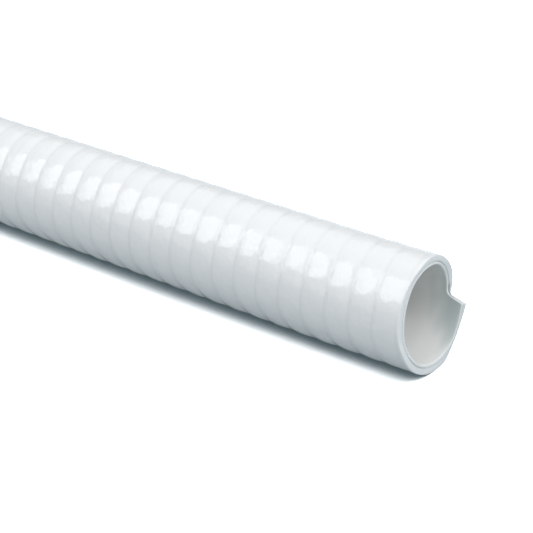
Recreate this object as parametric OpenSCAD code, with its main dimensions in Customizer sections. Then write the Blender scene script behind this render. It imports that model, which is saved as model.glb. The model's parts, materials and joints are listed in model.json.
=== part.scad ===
// Length of smooth-bore flexible PVC hose with a rigid PVC helix wound inside its wall.
// The bore lies along +X and +Z is up. The origin is the centre of the bore at the square end.

/* [Hose] */
// Length of the hose along the bore, to the furthest tip of its cut end
hose_length = 305; // [150:1:400]
// Diameter of the smooth bore
bore_d = 40; // [30:0.5:52]

/* [Wall] */
// Thickness of the soft inner liner
liner_wall = 1.25; // [0.8:0.05:2]
// Thickness of the soft cover over the rigid bar
cover_skin = 1.2; // [1:0.05:2]
// Clearance between the pieces of the wall
wall_clearance = 0.05; // [0.02:0.01:0.1]

/* [Ribs] */
// Distance from one rib to the next along the bore
rib_pitch = 11; // [10:0.1:16]
// Depth of the groove between two ribs
groove_depth = 0.5; // [0.2:0.05:0.9]
// Width of the groove between two ribs
groove_width = 3; // [1.5:0.1:4]
// Distance from the tip of the cut end back to the first groove, on the +Y side
first_groove = 1.6; // [0:0.1:8]
// Depth of the flat that the hose rests on, under the crowns of the ribs
rest_flat = 0.5; // [0.3:0.05:0.7]

/* [Helix bar] */
// Width of the rigid bar at its foot, which lies on the liner
bar_foot = 5; // [3:0.1:6]
// Width of the rigid bar at its top
bar_top = 3.4; // [2:0.1:4.5]
// Height of the rigid bar
bar_height = 1.7; // [1:0.05:2.5]

/* [Cut end] */
// Angle by which the knife cut leans from square
cut_skew = 10.9; // [0:0.1:14]
// Direction in which the leaning cut stands out furthest, in degrees below the +Y side
cut_turn = 54; // [30:1:80]
// How far the upper part of the cut steps back from the tip
step_back = 7.5; // [6:0.1:12]
// Where the step's edge starts, below the middle of the hose
step_drop = 1; // [0:0.1:2]
// Angle by which the step's edge leans round the wall as it runs out to the tip
step_lean = 29; // [10:1:35]

/* [Mesh] */
// Sides of the ribbed cover and of the rigid helix, which leave a side flat on the floor
sides = 22; // [14:4:30]

/* [Hidden] */

bore_r = bore_d / 2;
liner_r = bore_r + liner_wall;
outer_r = liner_r + bar_height + cover_skin;
rest_z = -(outer_r - rest_flat);
side_angle = 360 / sides;

// Faceted pieces clear the round liner at the middle of each side
foot_r = (liner_r + wall_clearance) / cos(side_angle / 2);
top_r = foot_r + bar_height;
channel_r = top_r + wall_clearance;

// The leaning cut, as a plane through the axis at cut_x
skew_slope = tan(cut_skew);
cut_x = hose_length - skew_slope * outer_r;
step_x = hose_length - step_back;

// One pitch of each wall, as places along it in pitches, and radii
half_groove = groove_width / rib_pitch / 2;
half_foot = (bar_foot / 2 + wall_clearance) / rib_pitch;
half_top = (bar_top / 2 + wall_clearance) / rib_pitch;
RIBS = [
    [-half_groove, outer_r],
    [0, outer_r - groove_depth],
    [half_groove, outer_r],
];
CHANNEL = [
    [0.5 - half_foot, foot_r],
    [0.5 - half_top, channel_r],
    [0.5 + half_top, channel_r],
    [0.5 + half_foot, foot_r],
];
// Rows of points stay this far from the ends
row_gap = 0.35;
// Marks the points at the two ends of a column in the walls' rows
FIRST = -1e6;
LAST = 1e6;

function at(x, r, angle) = [x, r * cos(angle), r * sin(angle)];
function total(list, count) = count == 0 ? 0 : list[count - 1] + total(list, count - 1);

// Place of the groove along the bore, for a turn's number and an angle from +Y towards +Z
function groove_x(turn, angle) = hose_length - first_groove + rib_pitch * (turn + angle / 360);

// The cut end, for a radius and an angle: the leaning cut, and the step in its upper right part
function lean_x(r, angle) = cut_x + skew_slope * r * cos(angle + cut_turn);
function in_step(angle) = angle < 90;
function end_x(r, angle) = in_step(angle) ? min(step_x, lean_x(r, angle)) : lean_x(r, angle);

// Radius of a wall at any place: straight between the points of its profile
function wrapped(profile) = let (last = len(profile) - 1)
    concat([[profile[last][0] - 1, profile[last][1]]], profile, [[profile[0][0] + 1, profile[0][1]]]);
function radius_at(profile, x, angle) =
    let (turns = (x - groove_x(0, angle)) / rib_pitch, low = profile[0][0])
    lookup(turns - floor(turns - low), wrapped(profile));

// One column of a wall from end to end: row number, place along the bore, radius
function column(profile, angle) = let (
    count = len(profile),
    turns = ceil(hose_length / rib_pitch) + 2,
    far = end_x(profile[0][1], angle),
    rows = [
        for (row = [-turns * count : 2 * count])
            let (step = row - count * floor(row / count))
            let (x = groove_x(floor(row / count) + profile[step][0], angle))
            if (x > row_gap && x < far - row_gap)
                [row, x, profile[step][1]]
    ]
) concat([[FIRST, 0, radius_at(profile, 0, angle)]], rows, [[LAST, far, radius_at(profile, far, angle)]]);

// Row numbers of a column, moved on by a whole turn where the columns close on themselves
function row_numbers(col, shift) = [
    for (row = col) row[0] == FIRST || row[0] == LAST ? row[0] : row[0] - shift
];

// Triangles between two neighbouring columns, which may differ in length at the cut end
function first_moves(a, b, pair) =
    pair[0] < len(a) - 1 && (pair[1] == len(b) - 1 || a[pair[0] + 1] <= b[pair[1] + 1]);
function strip(a, b, start_a, start_b) = [
    for (
        pair = [0, 0];
        pair[0] + pair[1] < len(a) + len(b) - 2;
        pair = first_moves(a, b, pair) ? [pair[0] + 1, pair[1]] : [pair[0], pair[1] + 1]
    )
        first_moves(a, b, pair)
            ? [start_a + pair[0], start_a + pair[0] + 1, start_b + pair[1]]
            : [start_a + pair[0], start_b + pair[1] + 1, start_b + pair[1]]
];
function flipped(faces) = [for (face = faces) [face[2], face[1], face[0]]];

// Soft PVC: the outer part of the wall, with its ribs outside and the bar's channel inside
module outer_cover() {
    angles = [for (i = [0 : sides - 1]) i * side_angle];
    outside = [for (angle = angles) column(RIBS, angle)];
    inside = [for (angle = angles) column(CHANNEL, angle)];
    sizes = [for (col = concat(outside, inside)) len(col)];
    starts = [for (i = [0 : 2 * sides]) total(sizes, i)];
    points = concat(
        [for (i = [0 : sides - 1]) for (row = outside[i]) rested(at(row[1], row[2], angles[i]))],
        [for (i = [0 : sides - 1]) for (row = inside[i]) at(row[1], row[2], angles[i])]
    );
    faces = [
        for (i = [0 : sides - 1])
            let (j = (i + 1) % sides, shift = j == 0 ? 1 : 0)
            each concat(
                strip(
                    row_numbers(outside[i], 0), row_numbers(outside[j], shift * len(RIBS)),
                    starts[i], starts[j]
                ),
                flipped(strip(
                    row_numbers(inside[i], 0), row_numbers(inside[j], shift * len(CHANNEL)),
                    starts[sides + i], starts[sides + j]
                )),
                ring(starts[i], starts[j], starts[sides + i], starts[sides + j]),
                flipped(ring(
                    starts[i + 1] - 1, starts[j + 1] - 1,
                    starts[sides + i + 1] - 1, starts[sides + j + 1] - 1
                ))
            )
    ];
    color("gainsboro")
        polyhedron(points, faces, convexity = 6);
}
// The wall's end between two columns, facing back along the bore
function ring(out_a, out_b, in_a, in_b) = [[out_a, out_b, in_b], [out_a, in_b, in_a]];
// The crowns are flat where the hose rests
function rested(point) = [point[0], point[1], max(point[2], rest_z)];

// Rigid PVC: one bar wound from end to end in the cover's channel
function bar_x(i) = groove_x(0.5, 0) + rib_pitch * i / sides;
function bar_section(i) = let (x = bar_x(i), angle = i * side_angle) [
    at(x - bar_foot / 2, foot_r, angle),
    at(x - bar_top / 2, top_r, angle),
    at(x + bar_top / 2, top_r, angle),
    at(x + bar_foot / 2, foot_r, angle),
];
function side_number(i) = i - sides * floor(i / sides);
function bar_fits(i) = bar_x(i) + bar_foot / 2 < end_x(top_r, side_number(i) * side_angle) - row_gap;

module rigid_helix() {
    first = ceil((row_gap + bar_foot / 2 - groove_x(0.5, 0)) * sides / rib_pitch);
    last = min([for (i = [-3 * sides : 2 * sides]) if (!bar_fits(i)) i]) - 1;
    count = last - first + 1;
    sections = [for (i = [first : last]) bar_section(i)];
    faces = [
        for (i = [0 : count - 2])
            for (k = [0 : 3])
                let (a = 4 * i + k, b = 4 * i + (k + 1) % 4)
                each [[a, b, a + 4], [b, b + 4, a + 4]]
    ];
    ends = [[3, 2, 1, 0], [for (k = [0 : 3]) 4 * (count - 1) + k]];
    gap = min([
        for (i = [0 : sides - 1])
            for (p = sections[i])
                for (q = sections[i + sides])
                    norm(p - q)
    ]);
    echo(str("least gap between two turns of the rigid helix: ", gap, " mm"));
    color("whitesmoke")
        polyhedron([for (section = sections) each section], concat(faces, ends), convexity = 6);
}

// Soft PVC: the smooth inner part of the wall
module inner_liner() {
    color("white")
        difference() {
            rotate([0, 90, 0])
                cylinder(h = hose_length, r = liner_r, $fn = 96);
            translate([-1, 0, 0])
                rotate([0, 90, 0])
                    cylinder(h = hose_length + 2, r = bore_r, $fn = 96);
            leaning_cut();
            step_cut();
        }
}

// Everything past the leaning cut
module leaning_cut() {
    past = 4 * outer_r;
    translate([cut_x, 0, 0])
        rotate([-cut_turn, 0, 0])
            rotate([0, 0, -cut_skew])
                translate([0, -past / 2, -past / 2])
                    cube(past);
}

// The upper right part of the wall, where the cut steps back
module step_cut() {
    reach = step_back + 2;
    translate([step_x, outer_r, 0])
        rotate([90, 0, 0])
            linear_extrude(outer_r)
                polygon([
                    [0, -step_drop],
                    [reach, -step_drop - tan(step_lean) * reach],
                    [reach, outer_r],
                    [0, outer_r],
                ]);
}

inner_liner();
rigid_helix();
outer_cover();
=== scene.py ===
import json
import math
import bpy
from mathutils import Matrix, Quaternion, Vector


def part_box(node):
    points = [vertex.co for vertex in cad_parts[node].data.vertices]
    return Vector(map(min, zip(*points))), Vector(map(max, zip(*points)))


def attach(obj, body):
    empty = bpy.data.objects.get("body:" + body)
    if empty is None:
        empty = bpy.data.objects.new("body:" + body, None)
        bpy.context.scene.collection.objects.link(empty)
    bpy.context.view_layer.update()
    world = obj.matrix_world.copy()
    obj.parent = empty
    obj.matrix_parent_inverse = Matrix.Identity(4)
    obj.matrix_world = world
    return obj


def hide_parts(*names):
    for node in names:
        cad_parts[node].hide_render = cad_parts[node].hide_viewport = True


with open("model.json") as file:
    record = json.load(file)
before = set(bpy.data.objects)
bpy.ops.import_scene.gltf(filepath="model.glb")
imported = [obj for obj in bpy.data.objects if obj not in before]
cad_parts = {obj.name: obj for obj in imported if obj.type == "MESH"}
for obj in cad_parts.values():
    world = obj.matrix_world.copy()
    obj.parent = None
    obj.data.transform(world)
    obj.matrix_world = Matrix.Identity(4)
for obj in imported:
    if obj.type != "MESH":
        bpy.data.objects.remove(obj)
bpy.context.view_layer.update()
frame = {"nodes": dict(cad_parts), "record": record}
print("frame loaded:", ", ".join(sorted(frame["nodes"])))


def addObject(name, data):
    made = bpy.data.objects.new(name, data)
    bpy.context.scene.collection.objects.link(made)
    return made


def node(tree, kind, **values):
    made = tree.nodes.new(kind)
    for name, value in values.items():
        setattr(made, name, value)
    return made


def plug(tree, source, socket):  # the source is another node's output or a plain value
    if hasattr(source, "is_output"):
        tree.links.new(source, socket)
    else:
        socket.default_value = source


def worked(tree, operation, a, b=0.0, c=0.0):  # one Math node, fed by outputs or numbers
    made = node(tree, "ShaderNodeMath", operation=operation)
    for source, socket in zip((a, b, c), made.inputs):
        plug(tree, source, socket)
    return made.outputs[0]


def plus(tree, a, b):
    return worked(tree, "ADD", a, b)


def minus(tree, a, b):
    return worked(tree, "SUBTRACT", a, b)


def times(tree, a, b):
    return worked(tree, "MULTIPLY", a, b)


def over(tree, a, b):
    return worked(tree, "DIVIDE", a, b)


def stepped(tree, value, fromLow, fromHigh, toLow, toHigh, curve="SMOOTHSTEP"):
    made = node(tree, "ShaderNodeMapRange", interpolation_type=curve)
    for source, name in ((value, "Value"), (fromLow, "From Min"), (fromHigh, "From Max"),
                         (toLow, "To Min"), (toHigh, "To Max")):
        plug(tree, source, made.inputs[name])
    return made.outputs[0]


def axesOf(tree, vector):
    made = node(tree, "ShaderNodeSeparateXYZ")
    tree.links.new(vector, made.inputs[0])
    return made.outputs


def vectorOf(tree, x, y, z=0.0):
    made = node(tree, "ShaderNodeCombineXYZ")
    for source, socket in zip((x, y, z), made.inputs):
        plug(tree, source, socket)
    return made.outputs[0]


def scaled(tree, vector, factors):
    made = node(tree, "ShaderNodeVectorMath", operation="MULTIPLY")
    plug(tree, vector, made.inputs[0])
    made.inputs[1].default_value = factors
    return made.outputs[0]


cameraSettings = {
    "azimuth": 33.996,      # degrees round from the hose's near side
    "elevation": 30.772,
    "distance": 0.51524,
    "aim": (0.24544, -0.03571, 0.02255),
    "focalPixels": 1324.8,  # focal length, in pixels of a picture this wide
    "pictureWidth": 533,
    "sensorWidth": 36,
    "clip": (0.01, 50),
}


def makeCamera(settings):
    data = bpy.data.cameras.new("Camera")
    data.sensor_width = settings["sensorWidth"]
    data.lens = data.sensor_width * settings["focalPixels"] / settings["pictureWidth"]
    data.clip_start, data.clip_end = settings["clip"]
    camera = addObject("Camera", data)
    turn, lift = math.radians(settings["azimuth"]), math.radians(settings["elevation"])
    back = Vector((math.sin(turn) * math.cos(lift), -math.cos(turn) * math.cos(lift),
                   math.sin(lift)))
    camera.location = Vector(settings["aim"]) + back * settings["distance"]
    camera.rotation_mode = "QUATERNION"
    camera.rotation_quaternion = (-back).to_track_quat("-Z", "Y")
    bpy.context.scene.camera = camera


makeCamera(cameraSettings)
print("camera placed")


boreMount = next(mount for mount in frame["record"]["mounts"] if mount["kind"] == "bore")
boreRadius = boreMount["dims"]["r_mm"] / 1000
coverLow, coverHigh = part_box("outer_cover")
hoseLength, outerRadius = coverHigh[0], coverHigh[1]
restHeight = coverLow[2]
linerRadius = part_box("inner_liner")[1][1]

windingSettings = {
    "pitch": 0.011,
    "firstGroove": 0.0016,  # from the tip of the cut end back to a groove, on the +Y side
    "crownDrop": 0.00042,   # from a rib's crown to where its shoulders would be unrounded
    "crownShare": 0.8,      # where between the crown and the groove the rounding starts
    "creaseDepth": 0.00010,
    "creaseWidth": 0.0026,
    # heights low, high and on top of the hose, and how strong the ribs and the creases are there:
    # the last one is relative to the one before
    "places": (-0.010, 0.012, 0.0225),
    "crowns": (1.5, 1.0, 0.75),
    "creases": (0.2, 1.8, 0.25),
    "fade": {"from": 0.024, "to": 0.006, "least": 0.15},  # the ribs flatten towards the cut end
}
barSettings = {
    "foot": 0.005,
    "top": 0.0034,
    "height": 0.0017,
    "clearance": 0.00005,
    "corner": 0.0003,
    "cornerPoints": 2,
    "pointsPerTurn": 60,
    "fromEnds": 0.0012,     # the least wall left between the bar's ends and the hose's ends
    "searchStep": 1,        # in degrees, for the bar's last angle
}
innerRadius = linerRadius + barSettings["clearance"]

cutSettings = {
    # the cut's outer edge and its edge at the bore: degrees from +Y towards +Z, and millimetres
    # behind the tip
    "outerEdge": ((-174, 5.55), (-160, 4.15), (-130, 2.3), (-98, 0.55), (-78, 0.05), (-55, 0.7),
                  (-35, 0.9), (-14, 0.6), (-11.6, 0.5), (-10.3, 2.6), (-8.8, 5.4), (-7.3, 7.6),
                  (-5.5, 8.0), (3, 7.65), (27, 7.2), (66, 7.95), (104, 7.35), (126, 7.6), (164, 7.1)),
    "boreEdge": ((-178, 5.5), (-156, 4.0), (-130, 2.3), (-103, 1.35), (-71, 0.2), (-59, 0.0),
                 (-39, 0.45), (-17, 0.95), (-10, 1.0), (-9, 2.3), (-6, 5.6), (-4.5, 6.6), (-2, 7.6),
                 (2, 8.15), (30, 8.2), (60, 7.9), (85, 7.65), (115, 7.7), (139, 7.1), (171, 5.9)),
    # rounding of the edges: its size, and the share of it at which its middle point lies
    "lip": 0.0003,
    "lipMiddle": 0.3,
    # knife marks on the cut face: their height, and the share, number round the cut, turn per
    # metre of radius and start of each wave
    "ripple": 0.000045,
    "waves": ((1.0, 7, 0, 1.3), (0.6, 17, 900, 0), (0.4, 41, 0, 2)),
    "closing": 0.0006,      # how far from the cut the channel of the bar closes
    # the cover gapes from the liner beside the step: how far, where and how widely round the wall
    # in degrees, and how far along the hose
    "gape": {"height": 0.0012, "middle": 2.0, "spread": 6.0, "depth": 0.011},
}
settleSettings = {          # towards the cut end the hose lifts a little and loses its roundness
    "from": 0.245,
    "to": 0.297,
    "shift": (-0.00034, 0.00091),          # at the end, along Y and Z
    "stretch": (0.0083, -0.0258, 0.0227),  # at the end: along Y, askew, along Z
}
meshSettings = {
    "columns": 104,
    # more columns where the cut steps back, in degrees from +Y
    "closeColumns": (2, -1, -2, -3, -4, -5, -5.8, -6.5, -7.3, -8, -8.7, -9.4, -9.9, -10.3, -10.8,
                     -11.3, -11.7, -12.3, -13),
    "columnGap": 0.3,       # degrees
    # rows along the ribs, in pitches from a groove
    "grooveRows": (-0.17, -0.13, -0.09, -0.045, 0.0, 0.045, 0.09, 0.13, 0.17, 0.27, 0.38, 0.5,
                   0.62, 0.73),
    # also in pitches: the row beside a groove inside, and how far rows lie to both sides of the
    # channel's corners
    "channelSide": 0.13,
    "channelCorner": 0.012,
    "rowGap": 0.0005,       # least distance of such rows from the ends
    "linerRows": 24,
    "linerGap": 0.001,      # distance of the liner's outermost rows from the ends
    "faceSteps": 4,         # steps across the cut face
}
# keep the rows' keys apart: of the four sides of a wall's section, and of an end's edges and face
keySpan, keyStep = 1e6, 10


def grooveX(turns, angle):
    return (hoseLength - windingSettings["firstGroove"]
            + windingSettings["pitch"] * (turns + angle / math.tau))


def smoothTable(table, degrees):  # a smooth curve round the wall through points, with no overshoot
    count = len(table)
    degrees = (degrees - table[0][0]) % 360 + table[0][0]
    place = max(i for i in range(count) if table[i][0] <= degrees)
    points = [(table[i % count][0] + 360 * (i // count), table[i % count][1])
              for i in range(place - 1, place + 3)]
    slopes = [(b[1] - a[1]) / (b[0] - a[0]) for a, b in zip(points, points[1:])]
    before, after = [2 * a * b / (a + b) if a * b > 0 else 0.0 for a, b in zip(slopes, slopes[1:])]
    (x0, y0), (x1, y1) = points[1:3]
    width, t = x1 - x0, (degrees - x0) / (x1 - x0)
    return (y0 * (1 + 2 * t) * (1 - t) ** 2 + before * width * t * (1 - t) ** 2
            + y1 * t * t * (3 - 2 * t) + after * width * t * t * (t - 1))


def cutX(radius, angle):  # where the cut end lies, for a radius and an angle from +Y towards +Z
    degrees = math.degrees(angle)
    outer = smoothTable(cutSettings["outerEdge"], degrees)
    bore = smoothTable(cutSettings["boreEdge"], degrees)
    share = (outerRadius - radius) / (outerRadius - boreRadius)
    return hoseLength - (outer + (bore - outer) * share) / 1000


def knifeMark(radius, angle):
    waves = [share * math.sin(angle * count + radius * twist + start)
             for share, count, twist, start in cutSettings["waves"]]
    return cutSettings["ripple"] * sum(waves)


def gapeAt(angle):
    gape = cutSettings["gape"]
    aside = ((math.degrees(angle) - gape["middle"] + 180) % 360 - 180) / gape["spread"]
    return gape["height"] * math.exp(-aside * aside)


def columnAngles():
    count = meshSettings["columns"]
    even = [math.tau * i / count for i in range(count)]
    close = [math.radians(degrees) % math.tau for degrees in meshSettings["closeColumns"]]
    angles, gap = sorted(even + close), math.radians(meshSettings["columnGap"])
    return [a for i, a in enumerate(angles) if i == 0 or a - angles[i - 1] > gap]


def windingRows(phases, angle, low, high):  # rows that follow the winding: key and x
    rows = []
    for turn in range(-math.ceil(hoseLength / windingSettings["pitch"]) - 2, 3):
        for step, phase in enumerate(phases):
            x = grooveX(turn + phase, angle)
            if low < x < high:
                rows.append((turn * len(phases) + step, x))
    return rows


def channelRows():  # rows along the bar's channel, in pitches from a groove
    pitch, clearance = windingSettings["pitch"], barSettings["clearance"]
    foot = (barSettings["foot"] / 2 + clearance) / pitch
    top = (barSettings["top"] / 2 + clearance) / pitch
    side, soft = meshSettings["channelSide"], meshSettings["channelCorner"]
    halves = [foot + soft, foot - soft, top + soft, top - soft]
    return ([0.0, side] + [0.5 - half for half in halves] + [0.5]
            + [0.5 + half for half in reversed(halves)] + [1 - side])


def rounded(x, radius, towards, inward):  # a rounded edge's points, from the wall to the end face
    lip, middle = cutSettings["lip"], cutSettings["lipMiddle"]
    return [(x - towards * lip, radius), (x - towards * middle * lip, radius + inward * middle * lip),
            (x, radius + inward * lip)]


# one closed column round a wall's lengthwise section: key, x, radius, and shares of outside, inside
# and cut face
def wallColumn(angle, outer, inner, outerRows, innerRows, gapes):
    lip, steps = cutSettings["lip"], meshSettings["faceSteps"]
    closing, depth = cutSettings["closing"], cutSettings["gape"]["depth"]
    outerCut, innerCut = cutX(outer, angle), cutX(inner, angle)
    lift = gapeAt(angle) if gapes else 0.0
    column = []
    for n, (x, r) in enumerate(reversed(rounded(0, outer, -1, -1))):
        column.append((-keySpan + n, x, r, 1, 0, 1 - n / 2))
    column += [(key, x, outer, 1, 0, 0) for key, x in outerRows(angle, outerCut)]
    for n, (x, r) in enumerate(rounded(outerCut, outer, 1, -1)):
        column.append((keySpan + n, x, r, 1, 0, n / 2))
    for n in range(1, steps):
        share = n / steps
        r = outer - lip + (inner + lift - outer + 2 * lip) * share
        x = cutX(r, angle) + knifeMark(r, angle)
        column.append((keySpan + keyStep + n, x, r, 1 - share, 0, 1))
    for n, (x, r) in enumerate(reversed(rounded(innerCut, inner + lift, 1, 1))):
        column.append((keySpan + 2 * keyStep + n, x, r, 0, 0, 1 - n / 2))
    for key, x in reversed(innerRows(angle, innerCut)):
        nearest = min(x, innerCut - x) - closing
        raised = lift * math.exp(-(((innerCut - x) / depth) ** 2))
        deep = min(1, max(0, nearest / closing)) * (1 - raised / barSettings["height"])
        column.append((2 * keySpan - key, x, inner + raised, 0, deep, 0))
    for n, (x, r) in enumerate(rounded(0, inner, -1, 1)):
        column.append((3 * keySpan + n, x, r, 0, 0, n / 2))
    for n in range(1, steps):
        share = n / steps
        r = inner + lip + (outer - inner - 2 * lip) * share
        column.append((3 * keySpan + keyStep + n, 0, r, share, 0, 1))
    return column


def stripFaces(keysA, keysB):  # faces between two closed columns, as places in each: (column, place)
    faces, i, k = [], 0, 0
    countA, countB = len(keysA), len(keysB)
    while i < countA or k < countB:
        nextA = keysA[i + 1] if i + 1 < countA else math.inf
        nextB = keysB[k + 1] if k + 1 < countB else math.inf
        a0, a1 = (0, i % countA), (0, (i + 1) % countA)
        b0, b1 = (1, k % countB), (1, (k + 1) % countB)
        if i < countA and k < countB and nextA == nextB:
            faces.append((a0, b0, b1, a1))
            i, k = i + 1, k + 1
        elif i < countA and (k == countB or nextA < nextB):
            faces.append((a0, b0, a1))
            i += 1
        else:
            faces.append((a0, b0, b1))
            k += 1
    return faces


def movedOn(key, outerStep, innerStep):  # a row's key after one more turn of the winding
    if abs(key) < keySpan / 2:
        return key - outerStep
    return key + innerStep if abs(key - 2 * keySpan) < keySpan / 2 else key


def wallMesh(name, outer, inner, outerRows, innerRows, outerStep=0, innerStep=0, gapes=False):
    angles = columnAngles()
    columns = [wallColumn(a, outer, inner, outerRows, innerRows, gapes) for a in angles]
    starts = [sum(len(column) for column in columns[:i]) for i in range(len(columns))]
    points = [(x, r * math.cos(angle), r * math.sin(angle))
              for angle, column in zip(angles, columns) for _, x, r, *_ in column]
    faces, windings = [], []
    for i, column in enumerate(columns):
        j = (i + 1) % len(columns)
        keysA, keysB = [row[0] for row in column], [row[0] for row in columns[j]]
        if j == 0:
            keysB = [movedOn(key, outerStep, innerStep) for key in keysB]
        sides = ((i, angles[i]), (j, angles[j] + (math.tau if j == 0 else 0.0)))
        for face in stripFaces(keysA, keysB):
            faces.append([starts[sides[side][0]] + place for side, place in face])
            for side, place in face:
                where, angle = sides[side]
                pitches = (columns[where][place][1] - grooveX(0, angle)) / windingSettings["pitch"]
                windings.append((pitches, angle / math.tau))
    mesh = bpy.data.meshes.new(name)
    mesh.from_pydata(points, [], faces)
    layer = mesh.uv_layers.new(name="winding")
    for loop, winding in zip(layer.data, windings):
        loop.uv = winding
    for share, label in ((3, "outerShare"), (4, "innerShare"), (5, "cutShare")):
        values = [row[share] for column in columns for row in column]
        mesh.attributes.new(label, "FLOAT", "POINT").data.foreach_set("value", values)
    mesh.update()
    return addObject(name, mesh)


def evenRows(count):
    gap = meshSettings["linerGap"]
    return lambda angle, end: [(n, gap + (end - 2 * gap) * n / count) for n in range(count + 1)]


def woundRows(phases):
    gap = meshSettings["rowGap"]
    return lambda angle, end: windingRows(phases, angle, gap, end - gap)


def newTree(name, sizes):  # a tree for a modifier, with its named inputs: name and kind
    tree = bpy.data.node_groups.new(name, "GeometryNodeTree")
    inputs = [("Geometry", "Geometry")] + sizes + [("Material", "Material")]
    for label, kind in inputs:
        tree.interface.new_socket(name=label, in_out="INPUT", socket_type="NodeSocket" + kind)
    tree.interface.new_socket(name="Geometry", in_out="OUTPUT", socket_type="NodeSocketGeometry")
    return tree, node(tree, "NodeGroupInput").outputs


def finishTree(tree, geometry, material):
    smooth = node(tree, "GeometryNodeSetShadeSmooth")
    real = node(tree, "GeometryNodeRealizeInstances")
    painted = node(tree, "GeometryNodeSetMaterial")
    end = node(tree, "NodeGroupOutput")
    tree.links.new(geometry, smooth.inputs["Geometry"])
    tree.links.new(smooth.outputs[0], real.inputs[0])
    tree.links.new(real.outputs[0], painted.inputs["Geometry"])
    tree.links.new(material, painted.inputs["Material"])
    tree.links.new(painted.outputs[0], end.inputs[0])
    return tree


def byHeight(tree, given, value, z, name):  # stronger or weaker low, high and on top of the hose
    low, high, top = [given[place + " Place"] for place in ("Low", "High", "Top")]
    rise = stepped(tree, z, low, high, given["Low " + name], given["High " + name])
    fall = stepped(tree, z, high, top, 1.0, given["Top " + name])
    return times(tree, times(tree, value, rise), fall)


def ribDepth(tree, given, fromCrown, x, z):  # how far the cover's outside lies below its crowns
    share = times(tree, fromCrown, 2.0)
    past = worked(tree, "MAXIMUM", minus(tree, share, given["Crown Share"]), 0.0)
    rounding = over(tree, times(tree, past, past), minus(tree, 1.0, given["Crown Share"]))
    crown = times(tree, minus(tree, times(tree, share, share), rounding), given["Crown Drop"])
    halfCrease = over(tree, times(tree, given["Crease Width"], 0.5), given["Pitch"])
    crease = stepped(tree, minus(tree, 0.5, fromCrown), 0.0, halfCrease, 1.0, 0.0)
    full = worked(tree, "MULTIPLY_ADD", byHeight(tree, given, crease, z, "Crease"),
                  given["Crease Depth"], byHeight(tree, given, crown, z, "Crown"))
    return times(tree, full, stepped(tree, x, given["Fade Start"], given["Fade End"],
                                     1.0, given["Fade Least"]))


def channelDepth(tree, given, fromCrown):
    halfTop = over(tree, times(tree, given["Channel Top"], 0.5), given["Pitch"])
    halfFoot = over(tree, times(tree, given["Channel Foot"], 0.5), given["Pitch"])
    return times(tree, stepped(tree, fromCrown, halfTop, halfFoot, 1.0, 0.0, "LINEAR"),
                 given["Channel Height"])


def reliefTree():  # raises the ribs outside and the bar's channel inside, both along the winding
    levels = [place + what for place in ("Low", "High", "Top") for what in (" Place", " Crown", " Crease")]
    tree, given = newTree("WindingRelief", [(name, "Float") for name in (
        "Pitch", "Groove Place", "Crown Drop", "Crown Share", "Crease Depth", "Crease Width",
        "Fade Start", "Fade End", "Fade Least", *levels, "Channel Height", "Channel Foot", "Channel Top")])
    x, y, z = axesOf(tree, node(tree, "GeometryNodeInputPosition").outputs[0])
    turn = over(tree, worked(tree, "ARCTAN2", z, y), math.tau)
    along = over(tree, minus(tree, x, given["Groove Place"]), given["Pitch"])
    phase = worked(tree, "FRACT", minus(tree, along, turn))
    fromCrown = worked(tree, "ABSOLUTE", minus(tree, phase, 0.5))  # in pitches
    shares = []
    for label in ("outerShare", "innerShare"):
        read = node(tree, "GeometryNodeInputNamedAttribute", data_type="FLOAT")
        read.inputs["Name"].default_value = label
        shares.append(read.outputs["Attribute"])
    lift = minus(tree, times(tree, channelDepth(tree, given, fromCrown), shares[1]),
                 times(tree, ribDepth(tree, given, fromCrown, x, z), shares[0]))
    radius = worked(tree, "SQRT", plus(tree, times(tree, y, y), times(tree, z, z)))
    grown = over(tree, plus(tree, radius, lift), radius)
    shift = node(tree, "GeometryNodeSetPosition")
    tree.links.new(given["Geometry"], shift.inputs["Geometry"])
    tree.links.new(vectorOf(tree, x, times(tree, y, grown), times(tree, z, grown)),
                   shift.inputs["Position"])
    return finishTree(tree, shift.outputs[0], given["Material"])


def applyTree(thing, tree, values):  # runs the tree and keeps its result as a plain mesh
    modifier = thing.modifiers.new(tree.name, "NODES")
    modifier.node_group = tree
    sockets = {s.name: s.identifier for s in tree.interface.items_tree if s.in_out == "INPUT"}
    for name, value in values.items():
        modifier[sockets[name]] = value
    graph = bpy.context.evaluated_depsgraph_get()
    graph.update()
    result = bpy.data.meshes.new_from_object(thing.evaluated_get(graph))
    thing.modifiers.remove(modifier)
    thing.data = result
    result.name = thing.name


def settle(thing):  # the cut end's lift and ovality, and the flat that the hose rests on
    (shiftY, shiftZ), (alongY, askew, alongZ) = settleSettings["shift"], settleSettings["stretch"]
    start, end = settleSettings["from"], settleSettings["to"]
    for vertex in thing.data.vertices:
        x, y, z = vertex.co
        share = min(1.0, max(0.0, (x - start) / (end - start))) ** 2
        vertex.co = (x, y + share * (shiftY + alongY * y + askew * z),
                     max(z + share * (shiftZ + askew * y + alongZ * z), restHeight))
    thing.data.update()


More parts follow.
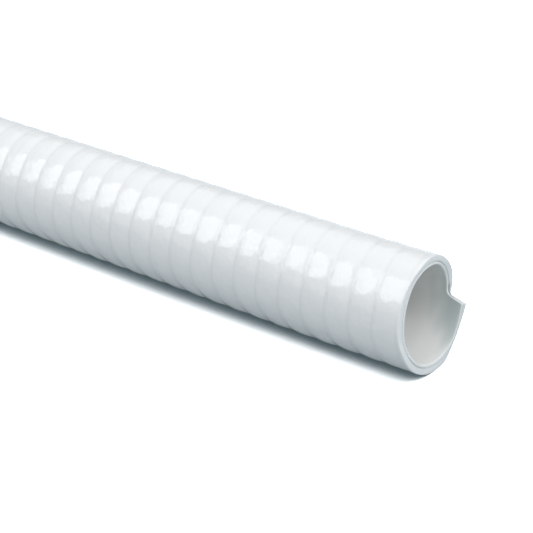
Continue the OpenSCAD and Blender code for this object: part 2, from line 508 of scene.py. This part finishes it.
def barLine(tree, given):  # the bar's middle line: a helix whose normals point away from the axis
    line = node(tree, "GeometryNodeMeshLine")
    tree.links.new(given["Points"], line.inputs["Count"])
    index = node(tree, "GeometryNodeInputIndex").outputs[0]
    share = over(tree, index, minus(tree, given["Points"], 1.0))
    turned = times(tree, times(tree, share, given["Turns"]), math.tau)
    angle = plus(tree, turned, given["Start Angle"])
    x = worked(tree, "MULTIPLY_ADD", share, minus(tree, given["End"], given["Start"]), given["Start"])
    y, z = [times(tree, worked(tree, wave, angle), given["Radius"]) for wave in ("COSINE", "SINE")]
    placed = node(tree, "GeometryNodeSetPosition")
    tree.links.new(line.outputs[0], placed.inputs["Geometry"])
    tree.links.new(vectorOf(tree, x, y, z), placed.inputs["Position"])
    curve = node(tree, "GeometryNodeMeshToCurve")
    tree.links.new(placed.outputs[0], curve.inputs[0])
    outward = node(tree, "ShaderNodeVectorMath", operation="NORMALIZE")
    place = node(tree, "GeometryNodeInputPosition").outputs[0]
    tree.links.new(scaled(tree, place, (0, 1, 1)), outward.inputs[0])
    faced = node(tree, "GeometryNodeSetCurveNormal", mode="FREE")
    tree.links.new(curve.outputs[0], faced.inputs["Curve"])
    tree.links.new(outward.outputs[0], faced.inputs["Normal"])
    return faced.outputs[0]


def barSection(tree, given):
    section = node(tree, "GeometryNodeCurvePrimitiveQuadrilateral", mode="TRAPEZOID")
    for socket, name in (("Bottom Width", "Foot"), ("Top Width", "Top"), ("Height", "Height")):
        plug(tree, given[name], section.inputs[socket])
    plug(tree, 0.0, section.inputs["Offset"])
    soft = node(tree, "GeometryNodeFilletCurve", mode="POLY")
    tree.links.new(section.outputs[0], soft.inputs["Curve"])
    plug(tree, barSettings["cornerPoints"], soft.inputs["Count"])
    plug(tree, given["Corner"], soft.inputs["Radius"])
    upright = node(tree, "GeometryNodeTransform")
    tree.links.new(soft.outputs[0], upright.inputs["Geometry"])
    upright.inputs["Rotation"].default_value = (0, 0, -math.pi / 2)
    return upright.outputs[0]


def barTree():
    sizes = ("Radius", "Start", "End", "Start Angle", "Turns", "Foot", "Top", "Height", "Corner")
    tree, given = newTree("WoundBar", [(name, "Float") for name in sizes] + [("Points", "Int")])
    swept = node(tree, "GeometryNodeCurveToMesh")
    tree.links.new(barLine(tree, given), swept.inputs["Curve"])
    tree.links.new(barSection(tree, given), swept.inputs["Profile Curve"])
    swept.inputs["Fill Caps"].default_value = True
    return finishTree(tree, swept.outputs[0], given["Material"])


def barReach(topRadius):  # the bar's first and last angle, counted on from turn to turn
    spare = barSettings["fromEnds"] + barSettings["foot"] / 2
    first = (spare - grooveX(0.5, 0)) / windingSettings["pitch"] * math.tau
    last = first
    while grooveX(0.5, last) + spare < cutX(topRadius, last):
        last += math.radians(barSettings["searchStep"])
    return first, last


def material(name, paint):  # paint(tree) gives back the surface shader's output
    made = bpy.data.materials.new(name)
    made.use_nodes = True
    made.node_tree.nodes.clear()
    end = node(made.node_tree, "ShaderNodeOutputMaterial")
    made.node_tree.links.new(paint(made.node_tree), end.inputs["Surface"])
    return made


usualRange = (0.3, 0.7)     # where most of a noise's values lie


def noise(tree, vector, scale, detail):
    made = node(tree, "ShaderNodeTexNoise")
    plug(tree, vector, made.inputs["Vector"])
    made.inputs["Scale"].default_value = scale
    made.inputs["Detail"].default_value = detail
    return made.outputs["Fac"]


def blended(tree, share, a, b):  # colours
    made = node(tree, "ShaderNodeMix", data_type="RGBA")
    for source, socket in ((share, made.inputs[0]), (a, made.inputs[6]), (b, made.inputs[7])):
        plug(tree, source, socket)
    return made.outputs[2]


def bumped(tree, height, distance, normal=None):
    made = node(tree, "ShaderNodeBump")
    plug(tree, height, made.inputs["Height"])
    made.inputs["Distance"].default_value = distance
    if normal:
        plug(tree, normal, made.inputs["Normal"])
    return made.outputs[0]


def attribute(tree, name):
    return node(tree, "ShaderNodeAttribute", attribute_name=name).outputs["Fac"]


def objectPlace(tree):
    return node(tree, "ShaderNodeTexCoord").outputs["Object"]


def windingPlaces(tree):  # across the strip, 0 to 1 between grooves, and along it in turns
    pitches, turns, _ = axesOf(tree, node(tree, "ShaderNodeUVMap", uv_map="winding").outputs[0])
    return worked(tree, "FRACT", pitches), plus(tree, turns, worked(tree, "FLOOR", pitches))


def stripNoise(tree, strip, look):  # a pattern that follows the winding
    across, along = strip
    acrossScale, alongScale = look["scales"]
    vector = vectorOf(tree, times(tree, across, acrossScale), times(tree, along, alongScale))
    return noise(tree, vector, 1.0, look["detail"])


def glossOf(tree, look, cut, pattern):  # roughness, with the cut face duller than the rest
    gloss = stepped(tree, pattern, *usualRange, *look["gloss"])
    return worked(tree, "MULTIPLY_ADD", cut, minus(tree, look["cutGloss"], gloss), gloss)


def scored(tree, look, place, cut, normal):  # knife scores, on the cut face only
    scores = look["scores"]
    return bumped(tree, times(tree, noise(tree, place, *scores["pattern"]), cut), scores["height"], normal)


def vinyl(tree, look, colour, roughness, normal):
    made = node(tree, "ShaderNodeBsdfPrincipled")
    plug(tree, colour, made.inputs["Base Color"])
    plug(tree, roughness, made.inputs["Roughness"])
    plug(tree, normal, made.inputs["Normal"])
    made.inputs["IOR"].default_value = look["ior"]
    made.inputs["Subsurface Weight"].default_value = look["subsurface"]
    made.inputs["Subsurface Radius"].default_value = look["subsurfaceRadius"]
    made.inputs["Subsurface Scale"].default_value = 0.001  # the radii are in millimetres
    return made.outputs[0]


# in each look, gloss is the least and most roughness, heights are in metres, clouds and pattern are a
# noise's scale and detail, and scales belong to one that is stretched
coverLook = {
    "colour": (0.735, 0.74, 0.745, 1),
    "grooveShadeColour": (0.70, 0.712, 0.725, 1),
    "groove": (0.36, 0.5, 0.6),  # painted shade in the grooves: between which pitches from a crown it sets in, and its least share
    "cutColour": (0.69, 0.705, 0.72, 1),
    "bondColour": (0.53, 0.55, 0.565, 1),  # the line round the cut face where the cover meets the liner
    "bondWidth": 0.16,
    # painted shade: the cover's inside, seen only in the gape beside the step, is darkened
    "insideShadeColour": (0.30, 0.32, 0.33, 1),
    "gloss": (0.08, 0.13),
    "glossShares": (0.6, 0.4),   # how much it follows the clouds and the die lines
    "cutGloss": 0.42,
    "ior": 1.53,
    "subsurface": 0.15,
    "subsurfaceRadius": (2.2, 2.0, 1.8),
    "clouds": (55.0, 4.0),
    "pillow": {"height": 0.00012, "low": -4.0, "top": -1.0},  # rounds each rib more, least on top
    "unevenness": {"height": 0.00035, "scales": (2.2, 22.0), "detail": 2.5},
    "dieLines": {"height": 0.000004, "scales": (38.0, 1.3), "detail": 3.0},
    "grain": {"height": 0.0000015, "pattern": (2600.0, 2.0)},
    "scores": {"height": 0.00006, "pattern": (900.0, 3.0)},
}


def coverColour(tree, look, cut, fromCrown, clouds):
    low, high, least = look["groove"]
    # painted shade: the grooves are darkened by a share that the clouds vary
    groove = stepped(tree, fromCrown, low, high, 0.0, 1.0)
    grooveShade = times(tree, groove, stepped(tree, clouds, *usualRange, least, 1.0))
    colour = blended(tree, grooveShade, look["colour"], look["grooveShadeColour"])
    colour = blended(tree, cut, colour, look["cutColour"])
    atBond = stepped(tree, attribute(tree, "outerShare"), 0.0, look["bondWidth"], 1.0, 0.0)
    colour = blended(tree, times(tree, cut, atBond), colour, look["bondColour"])
    # painted shade on the cover's inside, which darkens the gape beside the step
    return blended(tree, attribute(tree, "innerShare"), colour, look["insideShadeColour"])


def paintCover(tree):
    look, place, cut = coverLook, objectPlace(tree), attribute(tree, "cutShare")
    strip = windingPlaces(tree)
    fromCrown = worked(tree, "ABSOLUTE", minus(tree, strip[0], 0.5))
    clouds = noise(tree, place, *look["clouds"])
    lines = stripNoise(tree, strip, look["dieLines"])
    cloudShare, lineShare = look["glossShares"]
    pattern = worked(tree, "MULTIPLY_ADD", clouds, cloudShare, times(tree, lines, lineShare))
    roughness = glossOf(tree, look, cut, pattern)
    _, high, top = windingSettings["places"]
    strength = stepped(tree, axesOf(tree, place)[2], high, top, look["pillow"]["low"], look["pillow"]["top"])
    pillow = times(tree, times(tree, fromCrown, fromCrown), strength)
    normal = bumped(tree, pillow, look["pillow"]["height"])
    normal = bumped(tree, stripNoise(tree, strip, look["unevenness"]), look["unevenness"]["height"], normal)
    normal = bumped(tree, lines, look["dieLines"]["height"], normal)
    normal = bumped(tree, noise(tree, place, *look["grain"]["pattern"]), look["grain"]["height"], normal)
    normal = scored(tree, look, place, cut, normal)
    return vinyl(tree, look, coverColour(tree, look, cut, fromCrown, clouds), roughness, normal)


linerLook = {
    "colour": (0.77, 0.772, 0.758, 1),
    "streakAndShadeColour": (0.535, 0.585, 0.58, 1),
    # streaks round the bore, and painted shade that grows along x + y, darkest at the mouth's +Y wall beside
    # the step: over which stretch of x + y, from the cut end's tip, and by how much
    "streaks": {"scales": (70, 24, 24), "detail": 2.0, "range": (0.35, 0.68)},
    "mouth": {"from": -0.014, "to": 0.026, "shift": 0.4},
    "cutColour": (0.69, 0.71, 0.715, 1),
    "gloss": (0.30, 0.34),
    "cutGloss": 0.42,
    "ior": 1.5,
    "subsurface": 0.15,
    "subsurfaceRadius": (2.0, 1.9, 1.7),
    "clouds": (60.0, 2.0),
    "swell": 0.00006,       # the winding shows faintly through the bore
    "dieLines": {"height": 0.000005, "scales": (25.0, 1.1), "detail": 3.0},
    "scores": {"height": 0.00006, "pattern": (900.0, 3.0)},
}


def linerColour(tree, look, place, cut):
    mouth, streaks = look["mouth"], look["streaks"]
    x, y, _ = axesOf(tree, place)
    # painted shade: darker towards the mouth and the +Y wall, lighter deeper in and towards -Y
    mouthShade = stepped(tree, plus(tree, x, y), hoseLength + mouth["from"], hoseLength + mouth["to"],
                      -mouth["shift"], mouth["shift"], "LINEAR")
    pattern = noise(tree, scaled(tree, place, streaks["scales"]), 1.0, streaks["detail"])
    streaksAndShade = stepped(tree, plus(tree, pattern, mouthShade), *streaks["range"], 0.0, 1.0)
    colour = blended(tree, streaksAndShade, look["colour"], look["streakAndShadeColour"])
    return blended(tree, cut, colour, look["cutColour"])


def paintLiner(tree):
    look, place, cut = linerLook, objectPlace(tree), attribute(tree, "cutShare")
    strip = windingPlaces(tree)
    roughness = glossOf(tree, look, cut, noise(tree, place, *look["clouds"]))
    swell = worked(tree, "COSINE", times(tree, strip[0], math.tau))
    normal = bumped(tree, swell, look["swell"])
    normal = bumped(tree, stripNoise(tree, strip, look["dieLines"]), look["dieLines"]["height"], normal)
    normal = scored(tree, look, place, cut, normal)
    return vinyl(tree, look, linerColour(tree, look, place, cut), roughness, normal)


barLook = {
    "colour": (0.78, 0.79, 0.79, 1),
    "cloudShade": 0.96,
    "gloss": (0.22, 0.32),
    "ior": 1.54,
    "subsurface": 0.05,
    "subsurfaceRadius": (1.0, 1.0, 1.0),
    "clouds": (180.0, 4.0),
    "grain": {"height": 0.000004, "pattern": (1400.0, 2.0)},
}


def paintBar(tree):
    look, place = barLook, objectPlace(tree)
    clouds = noise(tree, place, *look["clouds"])
    share = stepped(tree, clouds, *usualRange, 0.0, 1.0)
    shaded = tuple(c * look["cloudShade"] for c in look["colour"][:3]) + (1,)
    colour = blended(tree, share, look["colour"], shaded)
    grain = noise(tree, place, *look["grain"]["pattern"])
    gloss = stepped(tree, clouds, *usualRange, *look["gloss"])
    return vinyl(tree, look, colour, gloss, bumped(tree, grain, look["grain"]["height"]))


def windingInputs():
    fade, clearance = windingSettings["fade"], barSettings["clearance"]
    values = {
        "Pitch": windingSettings["pitch"],
        "Groove Place": grooveX(0, 0),
        "Crown Share": windingSettings["crownShare"],
        "Crease Width": windingSettings["creaseWidth"],
        "Fade Start": hoseLength - fade["from"],
        "Fade End": hoseLength - fade["to"],
        "Fade Least": fade["least"],
        "Channel Foot": barSettings["foot"] + 2 * clearance,
        "Channel Top": barSettings["top"] + 2 * clearance,
    }
    for n, level in enumerate(("Low", "High", "Top")):
        values[level + " Place"] = windingSettings["places"][n]
        values[level + " Crown"] = windingSettings["crowns"][n]
        values[level + " Crease"] = windingSettings["creases"][n]
    return values


relief = reliefTree()
outerPhases, channelPhases = meshSettings["grooveRows"], channelRows()
cover = wallMesh("cover", outerRadius, innerRadius, woundRows(outerPhases), woundRows(channelPhases),
                 len(outerPhases), len(channelPhases), gapes=True)
applyTree(cover, relief, {
    **windingInputs(),
    "Crease Depth": windingSettings["creaseDepth"],
    "Crown Drop": windingSettings["crownDrop"],
    "Channel Height": barSettings["height"] + barSettings["clearance"],
    "Material": material("coverVinyl", paintCover),
})
print("cover made:", len(cover.data.polygons), "faces")

plainRows = evenRows(meshSettings["linerRows"])
liner = wallMesh("liner", linerRadius, boreRadius, plainRows, plainRows)
applyTree(liner, relief, {
    **windingInputs(),
    "Crease Depth": 0.0,
    "Crown Drop": 0.0,
    "Channel Height": 0.0,
    "Material": material("linerVinyl", paintLiner),
})
print("liner made:", len(liner.data.polygons), "faces")

bar = addObject("helixBar", bpy.data.meshes.new("helixBar"))
barFirst, barLast = barReach(innerRadius + barSettings["height"])
barTurns = (barLast - barFirst) / math.tau
applyTree(bar, barTree(), {
    "Radius": innerRadius + barSettings["height"] / 2,
    "Start": grooveX(0.5, barFirst),
    "End": grooveX(0.5, barLast),
    "Start Angle": barFirst,
    "Turns": barTurns,
    "Foot": barSettings["foot"],
    "Top": barSettings["top"],
    "Height": barSettings["height"],
    "Corner": barSettings["corner"],
    "Points": round(barTurns * barSettings["pointsPerTurn"]),
    "Material": material("rigidVinyl", paintBar),
})
print("bar wound:", round(barTurns, 2), "turns")

for piece, slot, cadNode in ((cover, "cover", "outer_cover"), (liner, "liner", "inner_liner"),
                             (bar, "helix", "rigid_helix")):
    settle(piece)
    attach(piece, "root")
    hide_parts(cadNode)

floorSettings = {
    "size": 6.0,
    "shown": (1.9, 1.9, 1.9, 1),         # what the camera sees, with the shadow kept
    "mirrored": (0.66, 0.74, 0.77, 1),   # what reflections see
    "bounce": (0.27, 0.33, 0.35, 1),     # what lights the hose's underside
    "contact": (0.17, 0.215, 0.235, 1),  # tint of the narrow shadow where the hose rests
    # how far round itself the floor looks for the hose, along it and at its cut end, between which
    # places along it that changes, and at which shares of open sky the tint is full and gone
    "contactReach": (0.0122, 0.0094),
    "contactPlaces": (0.16, 0.28),
    "contactRange": (0.22, 0.50),
    "samples": 16,
}


def paintFloor(tree):
    settings, path = floorSettings, node(tree, "ShaderNodeLightPath").outputs
    mirrored = worked(tree, "MAXIMUM", path["Is Glossy Ray"], path["Is Transmission Ray"])
    unseen = blended(tree, mirrored, settings["bounce"], settings["mirrored"])
    near = node(tree, "ShaderNodeAmbientOcclusion", samples=settings["samples"])
    reach = stepped(tree, axesOf(tree, objectPlace(tree))[0], *settings["contactPlaces"],
                    *settings["contactReach"])
    plug(tree, reach, near.inputs["Distance"])
    clear = stepped(tree, near.outputs["AO"], *settings["contactRange"], 0.0, 1.0, "LINEAR")
    contact = tuple(a * b for a, b in zip(settings["contact"], settings["shown"]))
    shown = blended(tree, clear, contact, settings["shown"])
    made = node(tree, "ShaderNodeBsdfDiffuse")
    plug(tree, blended(tree, path["Is Camera Ray"], unseen, shown), made.inputs["Color"])
    return made.outputs[0]


def makeFloor(settings):
    half = settings["size"] / 2
    corners = [(x * half, y * half, restHeight) for x, y in ((-1, -1), (1, -1), (1, 1), (-1, 1))]
    mesh = bpy.data.meshes.new("floor")
    mesh.from_pydata(corners, [], [(0, 1, 2, 3)])
    mesh.materials.append(material("paleFloor", paintFloor))
    return addObject("floor", mesh)


makeFloor(floorSettings)

lightSettings = {
    "sky": (0.975, 1.0, 1.015),
    "skyStrength": 0.97,
    "farSide": {"from": 0.45, "to": 0.9, "least": 0.5},  # the sky darkens towards the far side
    # long soft lights beside and over the hose, at one distance from its axis: radiance and colour,
    # the angles from the near side upwards that they span, where they reach along the hose, and how
    # far they are turned in their plane
    "distance": 1.2,
    "overhead": {"shape": "RECTANGLE", "strength": 0.385, "colour": (1.04, 1.005, 1.0),
                 "span": (10, 70), "reach": (-2.1, 0.1), "turn": 0},
    # seen in reflections only
    "shine": (
        {"shape": "RECTANGLE", "strength": 1.45, "colour": (1.0, 1.0, 1.0),
         "span": (30.5, 48), "reach": (-1.5, 0.15), "turn": 12},
        {"shape": "RECTANGLE", "strength": 1.0, "colour": (1.0, 1.0, 1.0),
         "span": (48, 84), "reach": (-0.85, -0.08), "turn": 12},
        {"shape": "ELLIPSE", "strength": 1.25, "colour": (1.0, 1.0, 1.0),
         "span": (30.5, 85), "reach": (-1.2, -0.1), "turn": 12},
        {"shape": "RECTANGLE", "strength": 0.55, "colour": (0.98, 1.0, 1.03),
         "span": (78, 150), "reach": (-0.85, 0.85), "turn": 0},
    ),
    # a soft light before the cut end: from where, how large, and its radiance
    "end": {"place": (1.05, 0.2, 0.97), "size": 0.5, "strength": 6.9},
}


def addLamp(name, shape, size, strength, colour, place, facing):
    data = bpy.data.lights.new(name, "AREA")
    data.shape = shape
    data.size, data.size_y = size
    data.energy = strength * math.pi * size[0] * size[1]
    data.color = colour
    lamp = addObject(name, data)
    lamp.location = place
    lamp.rotation_mode = "QUATERNION"
    lamp.rotation_quaternion = facing
    return lamp


def addSoftbox(name, box):
    low, high = [math.radians(degrees) for degrees in box["span"]]
    middle, distance, (start, end) = (low + high) / 2, lightSettings["distance"], box["reach"]
    away = Vector((0, -math.cos(middle), math.sin(middle)))
    turned = Quaternion(away, math.radians(box["turn"])) @ away.to_track_quat("Z", "Y")
    return addLamp(name, box["shape"], (end - start, 2 * distance * math.tan((high - low) / 2)),
                   box["strength"], box["colour"], away * distance + Vector(((start + end) / 2, 0, 0)),
                   turned)


def addEndLight(box):
    facing = (Vector(box["place"]) - Vector((hoseLength, 0, 0))).to_track_quat("Z", "Y")
    return addLamp("endLight", "SQUARE", (box["size"], box["size"]), box["strength"], (1, 1, 1),
                   box["place"], facing)


def paintSky(tree):  # graded for what it lights and for reflections, white where the camera sees it
    far, white = lightSettings["farSide"], (1, 1, 1, 1)
    level = stepped(tree, axesOf(tree, objectPlace(tree))[1], far["from"], far["to"], 1.0, far["least"])
    sky = tuple(c * lightSettings["skyStrength"] for c in lightSettings["sky"]) + (1,)
    graded = blended(tree, level, (0, 0, 0, 1), sky)
    path = node(tree, "ShaderNodeLightPath").outputs
    seen = worked(tree, "MAXIMUM", path["Is Camera Ray"], path["Is Transmission Ray"])
    plug(tree, blended(tree, seen, graded, white), tree.nodes["Background"].inputs["Color"])


addSoftbox("overhead", lightSettings["overhead"])
addEndLight(lightSettings["end"]).visible_glossy = False
for box in lightSettings["shine"]:
    addSoftbox("shine", box).visible_diffuse = False
world = bpy.data.worlds.new("sky")
world.use_nodes = True
paintSky(world.node_tree)
bpy.context.scene.world = world
bpy.context.scene.view_settings.view_transform = "Standard"
print("floor and lights set")
